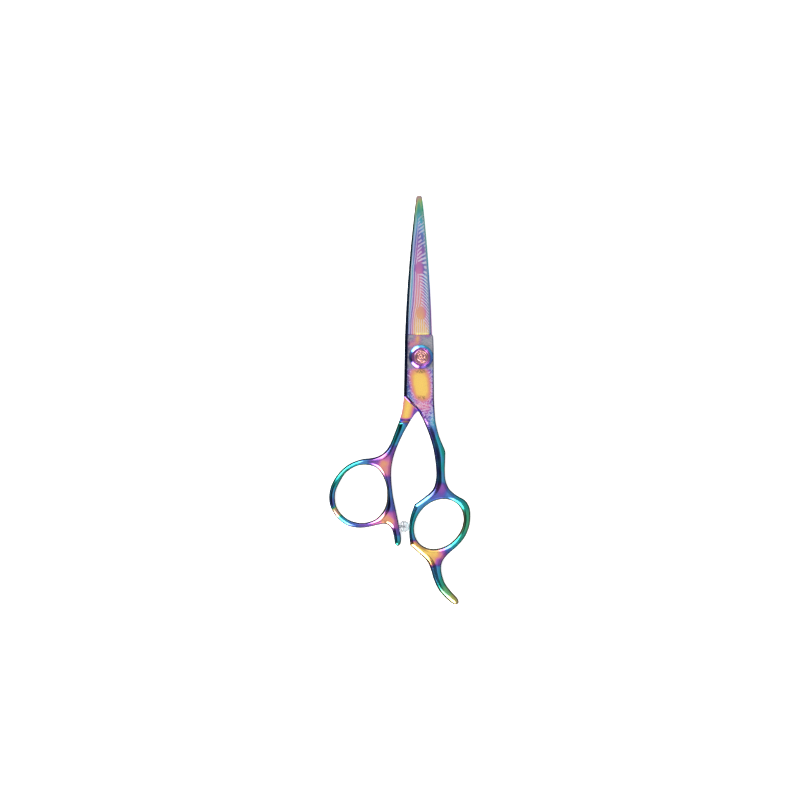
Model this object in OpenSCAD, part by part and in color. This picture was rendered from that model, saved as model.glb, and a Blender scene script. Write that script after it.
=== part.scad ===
// Thinning shears: a solid cutting half over a toothed thinning half, turning on a ball-race
// pivot with a tension dial. The finger ring carries a fixed finger rest, and the thumb ring
// carries a spur with a clear silicone bumper.
// Origin: where the pivot axis meets the back face. +Y runs to the blade tips, and +Z from the
// back face to the tension dial. The shears are closed.

/* [Blades] */
// Thickness of each half at the pivot
plate_t = 3; // [2.9:0.1:3.3]
// Gap between the two halves
ride_gap = 0.06; // [0.04:0.01:0.08]
// Where the pivot block ends and the blade begins, from the pivot axis
ledge_y = 9.4; // [9:0.1:10.5]
// Where the rounded tip begins, from the pivot axis
tip_y = 67.4; // [60:0.1:72]
// How far the rounded tip stands past that
tip_reach = 0.85; // [0.6:0.05:1.2]
// Blade thickness beside the pivot block
root_t = 2.75; // [2.5:0.05:2.8]
// Blade thickness at the tip
tip_t = 1.3; // [1:0.1:1.8]
// Depth of the hollow ground into each inner face
hollow_depth = 0.1; // [0.05:0.01:0.15]
// How far the toothed blade hides inside the cutting blade's outline
back_inset = 0.35; // [0.2:0.05:0.6]

/* [Teeth] */
// Number of teeth on the thinning blade
tooth_count = 28; // [20:1:30]
// Where the first slot starts, from the pivot axis
first_slot_y = 12; // [11.5:0.5:15]
// Slot width as a share of the tooth pitch
slot_share = 0.58; // [0.45:0.01:0.65]
// Slot depth as a share of the blade's width
slot_reach = 0.6; // [0.4:0.01:0.65]
// Depth of the hair notch in each tooth's end
notch_depth = 0.35; // [0.2:0.05:0.4]

/* [Handles] */
// Sideways radius of the handles' rounded edges
edge_r = 0.85; // [0.6:0.05:0.9]
// Height of that rounding, above and below the middle plane
edge_h = 2.7; // [1.5:0.1:2.9]
// Finger hole, long half axis
finger_a = 11.5; // [10.5:0.1:11.8]
// Finger hole, short half axis
finger_b = 9.3; // [8.5:0.1:9.5]

/* [Pivot] */
// Radius of the bolt's bearing shank
shank_r = 1.8; // [1.7:0.05:1.9]
// Radius of the bolt's threaded end
thread_r = 1.5; // [1.3:0.05:1.6]
// Outer radius of the bush in the cutting half
bush_r = 2.5; // [2.3:0.05:2.55]
// Radius of the bolt's flush head
head_r = 3.6; // [3.2:0.1:4]
// Radius of the tension dial
dial_r = 5.1; // [5:0.05:5.3]
// Number of balls in the thrust race
ball_count = 12; // [8:1:14]
// Diameter of those balls
ball_d = 0.8; // [0.7:0.05:0.8]
// Number of click notches under the dial
click_count = 24; // [12:1:30]

/* [Bumper] */
// Radius of the silicone bumper
bumper_r = 2.3; // [1.8:0.1:2.5]
// How far the bumper stands out of the spur
bumper_l = 3.8; // [3.5:0.1:3.8]
// Radius of the steel stud that holds it
stud_r = 0.6; // [0.5:0.05:0.7]

/* [Hidden] */

// Sides of the drawn circles, and how far a cut runs past the face that it cuts
facets = 96;
cut = 0.5;

// Heights that both halves share
mid_z = plate_t + ride_gap / 2;
face_z = 2 * mid_z;
front_z = mid_z + ride_gap / 2;
// Where each blade is welded to its handle
weld_y = -26.4;

// Plan of the cutting blade: [x beside the pivot block, x at the tip, bow between them]
spine_line = [-6.8, -2.05, -0.65];
edge_line = [4.4, 0.45, 0.55];
// Plan of the thinning blade, whose spine stands just clear of the cutting edge
back_spine_line = edge_line + [0.25, 0.1, 0.05];
back_edge_line = spine_line + [back_inset, back_inset, 0];
// Bevels beside the pivot block: [width, drop from the blade's face]
spine_bevel = [1.3, 1];
edge_bevel = [0.9, 0.9];
// Rings of the loft from the pivot block to the tip, and the blade's length under the block
blade_steps = 6;
blade_root = 1;
tooth_pitch = (tip_y - 1.6 - first_slot_y) / tooth_count;

// Plans of the pivot blocks, down to the weld
cutting_block_plan = [[4.4, ledge_y], [-6.85, ledge_y], [-7.1, -5], [-7.3, -16.5], [-0.7, -23.6],
    [0.8, weld_y], [6.05, weld_y], [5.75, -22.5], [5.5, -18], [5.4, -8], [5.35, 2],
    [5.2, ledge_y - 1]];
thinning_block_plan = [[4.2, ledge_y], [-6.5, ledge_y], [-6.9, -5], [-7.25, -16.5], [-7.7, -20.7],
    [-8.3, -24], [-9.1, weld_y], [-4.2, weld_y], [-2.6, -24.2], [-1, -22.6], [1.1, -20.9],
    [3.1, -18.7], [5, -16.2], [5, 8.4]];

// Plans of the handles: each is a smooth closed curve through its points, and a point that is
// given twice makes a corner
finger_plan = [[5.85, -24.5], [6.1, -27], [7.4, -32.5], [8.7, -36], [10.2, -39.6], [10.3, -42],
    [10.1, -48], [10.45, -52.2], [12, -55.8], [15, -58.4], [18.6, -60.5], [20.5, -63.6], [20.9, -67.5],
    [20.3, -72], [18.3, -76.5], [15.1, -80.2], [11.5, -83.3], [9, -86.6], [8.6, -90.5], [10, -95.3],
    [12.5, -98.8], [15.4, -102], [15.9, -103.9], [14.4, -104.6], [11.6, -102.9], [7.7, -98.8],
    [5.4, -94.2], [4.1, -89.8], [2.6, -86.4], [0, -83.7], [-4.5, -79.9], [-4.5, -79.9], [-5.1, -73],
    [-4.5, -67.6], [-2.7, -62.3], [-2.7, -62.3], [1.6, -59.1], [4.9, -56], [6.2, -52], [6.3, -47],
    [5.2, -39.2], [3.3, -32.6], [0.95, -26.8], [0.1, -24.5]];
thumb_plan = [[-3.1, -24.5], [-4.5, -27], [-7.6, -32.5], [-10.6, -39.3], [-12.1, -44.5], [-12.6, -50],
    [-11.9, -58], [-10.3, -66], [-8.9, -73], [-8.4, -76.5], [-8.6, -78.9], [-9.8, -79.9], [-11, -78.9],
    [-11.6, -75.5], [-12.6, -72.3], [-14.8, -70.6], [-18.4, -71], [-23, -72], [-27.5, -72.1],
    [-32, -70.7], [-36.2, -67], [-38.7, -61.8], [-38.5, -56], [-36, -50.6], [-31.4, -45.9],
    [-25.6, -43.3], [-20, -42.5], [-16.2, -40.8], [-13.4, -37.4], [-10.9, -31.3], [-9.2, -26.8],
    [-8.5, -24.5]];
// Middle of the finger hole, and how far its long axis is turned
finger_hole_at = [7.5, -70.6];
finger_hole_turn = 46;
// Middle of the thumb hole, and its radius every 30 degrees
thumb_hole_at = [-25.4, -58];
thumb_hole_r = [11, 11.6, 13, 12.3, 11.2, 10.3, 10.9, 11.6, 11.9, 12.1, 12.2, 11.6];
// Steps of a drawn curve from one of its points to the next
curve_steps = 4;

// Heights and radii of the pivot stack, from the back face to the dial
head_t = 1;
neck_w = 3.6;
neck_t = 1;
fit = 0.05;
slip = 0.01;
washer_t = 0.3;
washer_r = 4.4;
washer_z = plate_t + 0.02;
race_t = 0.25;
race_hole_r = 2.65;
race_r = 4.3;
pocket_r = 4.4;
pocket_z = 4.9;
ball_circle_r = 3.45;
ball_z = pocket_z + race_t + 2 * slip + ball_d / 2;
cage_t = 0.45;
cage_hole_r = 2.8;
cage_r = 4.15;
upper_race_z = ball_z + ball_d / 2 + slip;
spring_t = 0.25;
spring_z = upper_race_z + race_t + slip;
spring_r = 4.2;
dial_z = face_z + 0.1;
dial_recess_r = 4.45;
dial_recess_h = spring_z + spring_t + 0.15 - dial_z;
cap_z = dial_z + 1.25;
cap_r = 3.7;
bolt_top = cap_z - 0.06;
// Width across the flats of the bolt's threaded end
flats_w = 2.4;

// Bumper: it stands on the spur's right-hand side, at mid thickness
bumper_at = [-8.9, -71.6, mid_z];
stud_depth = 1.65;
stud_l = 4;

// Point of a Catmull-Rom curve between b and c
function curve_at(a, b, c, d, t) =
    (2 * b + (c - a) * t + (2 * a - 5 * b + 4 * c - d) * t * t
        + (3 * b - a - 3 * c + d) * t * t * t) / 2;
// Closed curve through the points p
function closed_curve(p) =
    let (m = len(p), n = curve_steps)
    [for (i = [0 : m - 1], k = [0 : n - 1])
        curve_at(p[(i + m - 1) % m], p[i], p[(i + 1) % m], p[(i + 2) % m], k / n)];

// One of a blade's long edges at the share t of its length
function along(line, t) = line[0] + (line[1] - line[0]) * t + line[2] * 4 * t * (1 - t);
// Cross-section from the spine at x = s to the cutting edge at x = e, with thickness h.
// The inner face is at z = 0, and its middle is hollow by d.
function blade_section(s, e, h, d, y) =
    let (k = (e - s) / (edge_line[0] - spine_line[0]), v = h / root_t)
    [[(s + e) / 2, y, d], [e, y, 0], [e, y, 0.1], [e - edge_bevel[0] * k, y, h - edge_bevel[1] * v],
        [s + spine_bevel[0] * k, y, h], [s, y, h - spine_bevel[1] * v], [s, y, 0]];
function blade_sections(spine, edge) =
    let (w = edge[1] - spine[1])
    concat(
        [blade_section(spine[0], edge[0], root_t, hollow_depth, ledge_y - blade_root)],
        [for (i = [0 : blade_steps])
            let (t = i / blade_steps)
            blade_section(along(spine, t), along(edge, t), root_t + (tip_t - root_t) * t,
                hollow_depth * (1 - t), ledge_y + (tip_y - ledge_y) * t)],
        [blade_section(spine[1] + w * 0.12, edge[1] - w * 0.12, tip_t * 0.85, 0,
                tip_y + tip_reach * 0.6),
            blade_section(spine[1] + w * 0.35, edge[1] - w * 0.35, tip_t * 0.6, 0,
                tip_y + tip_reach)]);

// Solid through a list of cross-sections that all have the same number of points, each with all
// its corners in sight of its first point
module loft(sections) {
    m = len(sections[0]);
    last = len(sections) - 1;
    polyhedron(
        points = [for (s = sections, p = s) p],
        faces = concat(
            [for (i = [1 : m - 2]) [0, i + 1, i]],
            [for (i = [1 : m - 2]) [last * m, last * m + i, last * m + i + 1]],
            [for (s = [0 : last - 1], i = [0 : m - 1])
                let (a = s * m + i, b = s * m + (i + 1) % m)
                each [[a, b, a + m], [b, b + m, a + m]]]));
}

// A blade that lies on z = 0 with its hollow ground into that face, spine on the left
module blade(spine, edge) {
    loft(blade_sections(spine, edge));
}

// Cuts a bevel along the front face's edge from a to b: w wide, d deep, material on the right
module bevel(a, b, w, d) {
    run = b - a;
    e = 0.6;
    translate([a[0], a[1], face_z])
        rotate([0, 0, atan2(run[1], run[0])])
            rotate([90, 0, 90])
                translate([0, 0, -0.4])
                    linear_extrude(norm(run) + 0.8)
                        polygon([[-w * (1 + e), d * e], [w * e, -d * (1 + e)], [w * e, d * e]]);
}

// Round end of the bolt's threaded part, with two flats
module keyed_shape(r, flats) {
    intersection() {
        circle(r, $fn = facets);
        square([flats, 2 * r + 1], center = true);
    }
}

module ring(r_out, r_in, z, h) {
    translate([0, 0, z]) difference() {
        cylinder(r = r_out, h = h, $fn = facets);
        translate([0, 0, -cut]) cylinder(r = r_in, h = h + 2 * cut, $fn = facets);
    }
}

module cutting_blade() {
    color("mediumorchid") difference() {
        union() {
            translate([0, 0, front_z]) linear_extrude(plate_t) polygon(cutting_block_plan);
            translate([0, 0, front_z]) blade(spine_line, edge_line);
        }
        bevel([-7.3, -16.5], [-6.85, ledge_y], spine_bevel[0], spine_bevel[1]);
        bevel([-0.7, -23.6], [-7.3, -16.5], 0.8, 1.2);
        bevel([5.2, ledge_y - 1], [5.37, -1], 0.35, 0.5);
        bevel([5.37, -1], [5.5, -18], 0.35, 0.5);
        translate([0, 0, front_z - cut]) cylinder(r = bush_r + slip, h = plate_t + 2 * cut, $fn = facets);
        translate([0, 0, pocket_z]) cylinder(r = pocket_r, h = plate_t, $fn = facets);
        translate([0, 0, front_z - cut])
            cylinder(r = washer_r + fit, h = cut + washer_z + washer_t + slip - front_z, $fn = facets);
    }
}

// Plan of the slot between two teeth, with a round end, and of the hair notch in the next tooth
module slot_plan(i) {
    y = first_slot_y + i * tooth_pitch;
    w = tooth_pitch * slot_share;
    t = (y - ledge_y) / (tip_y - ledge_y);
    e = along(-back_edge_line, t);
    s = along(-back_spine_line, t);
    depth = (e - s) * slot_reach;
    translate([e - depth + w / 2, y]) square([depth + 1, w]);
    translate([e - depth + w / 2, y + w / 2]) circle(d = w, $fn = 24);
    if (i < tooth_count - 1)
        translate([e, y + (w + tooth_pitch) / 2]) rotate(45)
            square(notch_depth, center = true);
}

module thinning_blade() {
    color("mediumorchid") difference() {
        union() {
            linear_extrude(plate_t) polygon(thinning_block_plan);
            translate([0, 0, plate_t]) rotate([0, 180, 0])
                difference() {
                    blade(-back_spine_line, -back_edge_line);
                    translate([0, 0, -cut]) linear_extrude(plate_t + 2 * cut)
                        for (i = [0 : tooth_count - 1]) slot_plan(i);
                }
        }
        translate([0, 0, face_z]) mirror([0, 0, 1]) {
            bevel([5, 8.4], [5, -16.2], 0.8, 1.2);
            bevel([-7.25, -16.5], [-6.5, ledge_y], 0.35, 0.5);
        }
        translate([0, 0, -cut]) cylinder(r = head_r + fit, h = head_t + cut, $fn = facets);
        translate([0, 0, head_t + neck_t / 2])
            cube([neck_w + 2 * fit, neck_w + 2 * fit, neck_t + 0.02], center = true);
        cylinder(r = shank_r + slip, h = plate_t + cut, $fn = facets);
    }
}

// A handle from its outline, full thickness, with rounded edges and a flat face at the weld.
// The rounding is a drawn ball, whose flat top stands at the cosine of its first ring's angle.
module rounded_handle() {
    sides = 10;
    difference() {
        minkowski() {
            translate([0, 0, edge_h])
                linear_extrude(face_z - 2 * edge_h)
                    offset(delta = -edge_r) children();
            scale([edge_r, edge_r, edge_h / cos(180 / sides)]) sphere(r = 1, $fn = sides);
        }
        translate([-50, weld_y, -cut]) cube([100, 10, face_z + 2 * cut]);
    }
}

module finger_handle() {
    color("slateblue") rounded_handle() difference() {
        polygon(closed_curve(finger_plan));
        translate(finger_hole_at)
            rotate(finger_hole_turn)
                polygon([for (i = [0 : 47]) [finger_a * cos(i * 7.5), finger_b * sin(i * 7.5)]]);
    }
}

module thumb_handle() {
    color("teal") difference() {
        rounded_handle() difference() {
            polygon(closed_curve(thumb_plan));
            translate(thumb_hole_at)
                polygon(closed_curve([for (i = [0 : 11])
                    thumb_hole_r[i] * [cos(i * 30), sin(i * 30)]]));
        }
        translate(bumper_at) rotate([0, 90, 0])
            translate([0, 0, -stud_depth]) cylinder(r = stud_r + slip, h = stud_depth + 1, $fn = 32);
    }
}

module pivot_bolt() {
    color("silver") union() {
        cylinder(r = head_r, h = head_t - slip, $fn = facets);
        translate([0, 0, head_t + neck_t / 2 - 0.1])
            cube([neck_w, neck_w, neck_t + 0.1], center = true);
        translate([0, 0, head_t]) cylinder(r = shank_r, h = pocket_z - head_t, $fn = facets);
        translate([0, 0, pocket_z - 0.1])
            linear_extrude(bolt_top - pocket_z + 0.1) keyed_shape(thread_r, flats_w);
    }
}

module pivot_bush() {
    z = washer_z + washer_t + 2 * slip;
    color("goldenrod") ring(bush_r, shank_r + fit, z, pocket_z + race_t - z);
}

module ride_washer() {
    color("whitesmoke") ring(washer_r, shank_r + 2 * fit, washer_z, washer_t);
}

module lower_race() {
    color("lightsteelblue") ring(race_r, race_hole_r, pocket_z + slip, race_t - slip);
}

// Draws its child at each ball's place
module at_balls() {
    for (i = [0 : ball_count - 1])
        rotate([0, 0, i * 360 / ball_count]) translate([ball_circle_r, 0, ball_z]) children();
}

module ball_cage() {
    color("dimgray") difference() {
        ring(cage_r, cage_hole_r, ball_z - cage_t / 2, cage_t);
        at_balls() cylinder(r = ball_d / 2 + fit, h = 2, center = true, $fn = 32);
    }
}

module bearing_balls() {
    color("silver") at_balls() sphere(d = ball_d, $fn = 24);
}

module upper_race() {
    color("lightsteelblue") translate([0, 0, upper_race_z]) linear_extrude(race_t) difference() {
        circle(race_r, $fn = facets);
        keyed_shape(thread_r + fit, flats_w + 2 * fit);
    }
}

// Flat spring plate with three arms
module click_spring() {
    color("silver") translate([0, 0, spring_z]) linear_extrude(spring_t) difference() {
        circle(spring_r, $fn = facets);
        keyed_shape(thread_r + fit, flats_w + 2 * fit);
        for (a = [0 : 120 : 240]) rotate(a) {
            translate([2.35, -0.3]) square([0.5, 2.4]);
            translate([2.35, -0.3]) square([3, 0.5]);
        }
    }
}

module tension_dial() {
    h = cap_z - dial_z;
    rim = [for (a = [0 : 15 : 180]) [4.3 + 0.45 * cos(a), 1.45 + 0.4 * sin(a)]];
    color("plum") translate([0, 0, dial_z]) difference() {
        rotate_extrude($fn = facets)
            polygon(concat([[thread_r + fit, 0], [dial_r - 0.15, 0], [dial_r, 0.15], [dial_r, 0.95]],
                rim, [[cap_r + slip, h], [thread_r + fit, h]]));
        translate([0, 0, -cut]) cylinder(r = dial_recess_r, h = dial_recess_h + cut, $fn = facets);
        for (i = [0 : click_count - 1])
            rotate([0, 0, i * 360 / click_count])
                translate([3.9, 0, dial_recess_h])
                    cube([0.7, 0.25, 0.16], center = true);
    }
}

module dial_cap() {
    dish = [for (i = [0 : 4]) [cap_r * (1 - i / 4), 0.32 + 0.14 * (i / 4) * (i / 4)]];
    color("lightcoral") translate([0, 0, cap_z + slip])
        rotate_extrude($fn = facets) polygon(concat([[0, 0], [cap_r, 0]], dish));
}

module bumper() {
    color("white", 0.5) translate(bumper_at) rotate([0, 90, 0]) difference() {
        rotate_extrude($fn = 48)
            polygon([[0, 0.02], [1.3, 0.02], [1.3, 0.5], [bumper_r - 0.2, 0.6], [bumper_r, 0.8],
                [bumper_r, 1.5], [bumper_r - 0.25, 1.7], [bumper_r, 1.9], [bumper_r, 2.6],
                [bumper_r - 0.3, 2.9], [bumper_r - 0.5, bumper_l - 0.4],
                [bumper_r - 0.9, bumper_l - 0.1], [0, bumper_l]]);
        translate([0, 0, -cut]) cylinder(r = stud_r + slip, h = stud_l - stud_depth + cut + slip, $fn = 32);
    }
}

module bumper_stud() {
    color("silver") translate(bumper_at) rotate([0, 90, 0])
        translate([0, 0, slip - stud_depth]) cylinder(r = stud_r, h = stud_l - slip, $fn = 32);
}

cutting_blade();
finger_handle();
thinning_blade();
thumb_handle();
pivot_bolt();
pivot_bush();
ride_washer();
lower_race();
ball_cage();
bearing_balls();
upper_race();
click_spring();
tension_dial();
dial_cap();
bumper();
bumper_stud();
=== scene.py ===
"""Thinning shears with a rainbow titanium film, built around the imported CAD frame.

Shapes are worked out in millimetres and become metres when a mesh is made. +Y runs to the blade
tips, +Z from the back face to the tension dial, and the pivot axis is at x = y = 0.
"""

import math

import bmesh
import bpy
import numpy as np
from mathutils import Matrix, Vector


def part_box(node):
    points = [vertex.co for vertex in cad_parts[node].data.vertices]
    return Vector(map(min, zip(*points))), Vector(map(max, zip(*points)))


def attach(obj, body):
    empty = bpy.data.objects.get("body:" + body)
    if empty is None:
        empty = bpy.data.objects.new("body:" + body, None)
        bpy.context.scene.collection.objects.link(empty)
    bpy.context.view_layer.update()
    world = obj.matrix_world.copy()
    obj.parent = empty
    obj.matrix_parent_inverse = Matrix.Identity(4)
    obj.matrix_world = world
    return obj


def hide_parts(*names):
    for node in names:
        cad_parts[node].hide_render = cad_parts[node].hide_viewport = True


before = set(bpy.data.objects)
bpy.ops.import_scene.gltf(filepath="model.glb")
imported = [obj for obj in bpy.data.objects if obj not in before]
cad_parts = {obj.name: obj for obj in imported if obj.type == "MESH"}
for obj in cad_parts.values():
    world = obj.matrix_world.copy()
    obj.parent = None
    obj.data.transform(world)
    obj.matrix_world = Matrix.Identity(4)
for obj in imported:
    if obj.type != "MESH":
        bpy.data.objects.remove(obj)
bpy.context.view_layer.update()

MM = 0.001


# ---- sizes, from the CAD frame

def cad_mm(node):
    low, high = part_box(node)
    return np.array(low) / MM, np.array(high) / MM


FACE_Z = cad_mm("cutting_blade")[1][2]
FRONT_Z = cad_mm("cutting_blade")[0][2]
PLATE_T = cad_mm("thinning_blade")[1][2]
MID_Z = FACE_Z / 2
WELD_Y = cad_mm("finger_handle")[1][1]
TIP_REACH = 0.85
TIP_Y = cad_mm("cutting_blade")[1][1] - TIP_REACH
DIAL_LOW, DIAL_HIGH = cad_mm("tension_dial")
CAP_LOW, CAP_HIGH = cad_mm("dial_cap")

# Blades: (x beside the pivot block, x at the tip, bow between them), the rear one's turned over
LEDGE_Y = 9.4
SPINE_LINE = (-6.8, -2.05, -0.65)
EDGE_LINE = (4.4, 0.45, 0.55)
BACK_SPINE_LINE = (-4.65, -0.55, -0.6)
BACK_EDGE_LINE = (6.45, 1.7, 0.65)
ROOT_T = 2.75
TIP_T = 1.3
HOLLOW = 0.1
SPINE_BEVEL = (1.3, 1.0)
EDGE_BEVEL = (0.9, 0.9)
TOOTH_COUNT = 28
FIRST_SLOT_Y = 12.0
SLOT_SHARE = 0.58
SLOT_REACH = 0.6
NOTCH = 0.35
SHANK_HOLE_R = 1.81
POCKETS_WITHIN = 4.5
# How close points are when they merge: on a lathe's axis, after cuts and on the handles
AXIS_WELD, CUT_WELD, HANDLE_WELD = 0.002, 0.01, 0.03
# Angles in degrees above which an edge stays sharp, after cuts, on turned pieces and on the dial
CUT_CREASE, TURNED_CREASE, DIAL_CREASE = 28, 50, 35

# Handle outlines: (x, y, width of the rounding there). A point given twice makes a corner.
FINGER_OUTLINE = [
    (5.85, -24.5, 0.6), (6.1, -27, 0.7), (7.4, -32.5, 1.1), (8.7, -36, 1.3), (10.2, -39.6, 1.4),
    (10.3, -42, 1.4), (10.1, -48, 1.3), (10.45, -52.2, 1.3), (12, -55.8, 1.4), (15, -58.4, 1.5),
    (18.6, -60.5, 1.7), (20.5, -63.6, 1.9), (20.9, -67.5, 1.8), (20.3, -72, 1.7),
    (18.3, -76.5, 1.6), (15.1, -80.2, 1.5), (11.5, -83.3, 1.5), (9, -86.6, 1.5),
    (8.6, -90.5, 1.5), (10, -95.3, 1.5), (12.5, -98.8, 1.5), (15.4, -102, 1.4),
    (15.9, -103.9, 1.4), (14.4, -104.6, 1.5), (11.6, -102.9, 2), (7.7, -98.8, 2.4),
    (5.4, -94.2, 2.6), (4.1, -89.8, 2.7), (2.6, -86.4, 2.3), (0, -83.7, 1.7), (-4.2, -80, 1.5),
    (-4.6, -79.5, 1.5), (-5.1, -73, 1.5), (-4.5, -67.6, 1.5),
    (-2.7, -62.3, 1.5), (-2.7, -62.3, 1.5), (1.6, -59.1, 1.7), (4.9, -56, 2.3), (6.2, -52, 2.7),
    (6.3, -47, 2.6), (5.2, -39.2, 2.5), (3.3, -32.6, 2.3), (0.95, -26.8, 1.3), (0.1, -24.5, 1.0)]
THUMB_OUTLINE = [
    (-3.1, -24.5, 1.0), (-4.5, -27, 1.1), (-7.6, -32.5, 1.2), (-10.6, -39.3, 1.2),
    (-12.1, -44.5, 1.2), (-12.6, -50, 1.3), (-11.9, -58, 1.3), (-10.3, -66, 1.4), (-8.9, -73, 1.4),
    (-8.4, -76.5, 1.3), (-8.6, -78.9, 1.3), (-9.8, -79.9, 1.3), (-11, -78.9, 1.3),
    (-11.6, -75.5, 1.4), (-12.6, -72.3, 1.5), (-14.8, -70.6, 1.4), (-18.4, -71, 1.2),
    (-23, -72, 1.1), (-27.5, -72.1, 1.1), (-32, -70.7, 1.2), (-36.2, -67, 1.25),
    (-38.7, -61.8, 1.5), (-38.5, -56, 1.75), (-36, -50.6, 1.8), (-31.4, -45.9, 1.8),
    (-25.6, -43.3, 1.8), (-20, -42.5, 2.0), (-16.2, -40.8, 2.2), (-13.4, -37.4, 2.4),
    (-10.9, -31.3, 2.4), (-9.2, -26.8, 1.4), (-8.5, -24.5, 1.2)]
FINGER_HOLE_AT = (7.5, -70.6)
FINGER_HOLE_AXES = (11.5, 9.3)
FINGER_HOLE_TURN = math.radians(46)
THUMB_HOLE_AT = (-25.4, -58)
THUMB_HOLE_R = [11, 11.6, 13, 12.3, 11.2, 10.3, 10.9, 11.6, 11.9, 12.1, 12.2, 11.6]
# Rounding inside the rings, every 30 degrees from +X
FINGER_HOLE_W = [1.9, 1.6, 1.2, 1.1, 1.1, 1.1, 1.1, 1.2, 1.3, 1.5, 1.7, 1.9]
THUMB_HOLE_W = [1.5, 1.3, 1.2, 1.0, 0.95, 0.95, 0.95, 0.95, 0.95, 1.0, 1.5, 2.1]
# A handle's rounding: its outer share is an ellipse, and the rest a facet this much lower there
ROUND_SHARE = 0.42
FACET_DROP = 0.2
# Size of the handles' mesh cells, and the finer grid that holds the depth inside their outlines
CELL = 0.32
GRID_STEP = 0.09
GRID_MARGIN = 1.5
DEPTH_LIMIT = 1.6


# ---- the titanium film

# Colours of the film as it grows thicker, in sRGB
FILM = [
    (0.00, (246, 207, 108)), (0.09, (233, 176, 110)), (0.18, (222, 148, 130)),
    (0.27, (207, 120, 166)), (0.36, (166, 92, 174)), (0.44, (116, 84, 172)),
    (0.52, (80, 104, 184)), (0.60, (82, 154, 206)), (0.67, (52, 170, 190)),
    (0.74, (44, 160, 150)), (0.81, (76, 176, 134)), (0.87, (142, 198, 130)),
    (0.93, (190, 188, 110)), (1.00, (206, 154, 140))]

# Film along the blade: (y, film at the middle of its face)
BLADE_FILM = [
    (9.0, 0.03), (14, 0.05), (18, 0.12), (24, 0.2), (34, 0.27), (44, 0.34), (50, 0.46),
    (55, 0.57), (59, 0.66), (62.5, 0.77), (64.6, 0.82), (66.4, 0.9), (68.5, 0.97)]

# Film on the handles: (x, y, film)
FINGER_FILM = [
    (3.5, -24, 0.5), (5.4, -27, 0.62), (1.6, -27, 0.36), (7.4, -34.5, 0.67), (4.3, -34, 0.46),
    (10, -40, 0.74), (6.2, -41, 0.5), (9.6, -47, 0.7), (7, -48, 0.5), (9.2, -51, 0.6),
    (8.4, -55.3, 0.41), (13, -57.5, 0.56), (16.8, -60.2, 0.68), (19, -62.5, 0.74),
    (19.8, -67, 0.8), (19.3, -71.5, 0.81), (17.6, -75.8, 0.76), (14.2, -79.6, 0.68),
    (11.2, -81.6, 0.55), (9.6, -82.6, 0.4), (8.2, -83.2, 0.2), (6.4, -83, 0.02), (3.5, -82, 0.0),
    (0.5, -80.8, 0.02), (-3.3, -79.2, 0.05), (-3.6, -76.5, 0.6), (-4.2, -72.5, 0.7),
    (-3.4, -67.5, 0.68), (-2, -63.5, 0.6), (1.6, -60.4, 0.58), (5, -57.8, 0.5),
    (4.6, -86.2, 0.06), (7.6, -86.5, 0.4), (6.3, -89.5, 0.58), (8.2, -90, 0.66), (6.4, -93.5, 0.6),
    (9, -94.5, 0.77), (11, -98.6, 0.84), (14, -102.3, 0.92), (15.2, -103.8, 0.95)]
THUMB_FILM = [
    (-1, -22, 0.42), (-2.5, -24.5, 0.42), (-5.5, -25, 0.42), (-4, -26.3, 0.42), (-7, -26.8, 0.4),
    (-5, -27.4, 0.44), (-8.7, -28.6, 0.74), (-6, -29.6, 0.6), (-10.8, -34.5, 0.7),
    (-8.6, -35, 0.52), (-13.6, -39.6, 0.5), (-11.2, -40.5, 0.4), (-15.4, -42.2, 0.32),
    (-15.9, -45, 0.15), (-14.8, -47.6, 0.2), (-13.2, -47.5, 0.3), (-19, -43.8, 0.4),
    (-13.5, -52.5, 0.48), (-13.1, -58, 0.55), (-12.2, -63, 0.5), (-11, -67.5, 0.36),
    (-12.8, -69.2, 0.14), (-10.3, -70.6, 0.32), (-9.7, -74, 0.46), (-9.8, -76.6, 0.62),
    (-9.8, -79, 0.77), (-15, -69.6, 0.14),
    (-18.5, -70.2, 0.3), (-23.5, -71, 0.44), (-28.5, -70.8, 0.52), (-32.6, -68.6, 0.64),
    (-35.6, -65.3, 1.0), (-37.3, -61.5, 0.5), (-37.5, -57.5, 0.6), (-36.3, -53, 0.72),
    (-33, -48.6, 0.76), (-28.5, -45.5, 0.68), (-24, -43.9, 0.57), (-19.5, -43.4, 0.42)]

# Film inside the rings, where the wall faces the finger
FINGER_WALL = [
    (-2.5, -72, 0.7), (-0.5, -64.5, 0.66), (4, -61, 0.8), (9, -59.8, 1.0), (14, -62.8, 0.9),
    (17, -67, 1.0), (16.4, -72.5, 1.0), (13, -77.3, 0.95), (8, -80.6, 0.92), (3, -81, 0.92),
    (-1, -78, 0.75)]
THUMB_WALL = [
    (-31, -47.5, 0.7), (-25.4, -45.8, 0.9), (-19, -46.5, 0.95), (-15.5, -50, 0.97),
    (-14.4, -58, 1.0), (-14.8, -64, 1.0), (-18.5, -68.5, 0.97), (-25, -69.8, 0.4),
    (-31, -68, 0.6), (-34.5, -64.5, 0.93), (-37, -58, 0.54), (-35.5, -52, 0.6)]


def smooth(low, high, x):
    t = np.clip((np.asarray(x, float) - low) / (high - low), 0, 1)
    return t * t * (3 - 2 * t)


def film_from(anchors, xy):
    """Film at each point of xy, blended from the nearby anchors."""
    a = np.array(anchors, float)
    d2 = ((xy[:, None, :] - a[None, :, :2]) ** 2).sum(2) + 1.6
    w = d2 ** -2.3
    return (w * a[:, 2]).sum(1) / w.sum(1)


# ---- meshes

def mesh_object(name, points, faces):
    """A mesh object from points in millimetres."""
    mesh = bpy.data.meshes.new(name)
    faces = [list(map(int, f)) for f in faces]
    mesh.from_pydata((np.asarray(points, float) * MM).tolist(), [], faces)
    mesh.validate()
    mesh.shade_smooth()
    obj = bpy.data.objects.new(name, mesh)
    bpy.context.scene.collection.objects.link(obj)
    return obj


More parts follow.
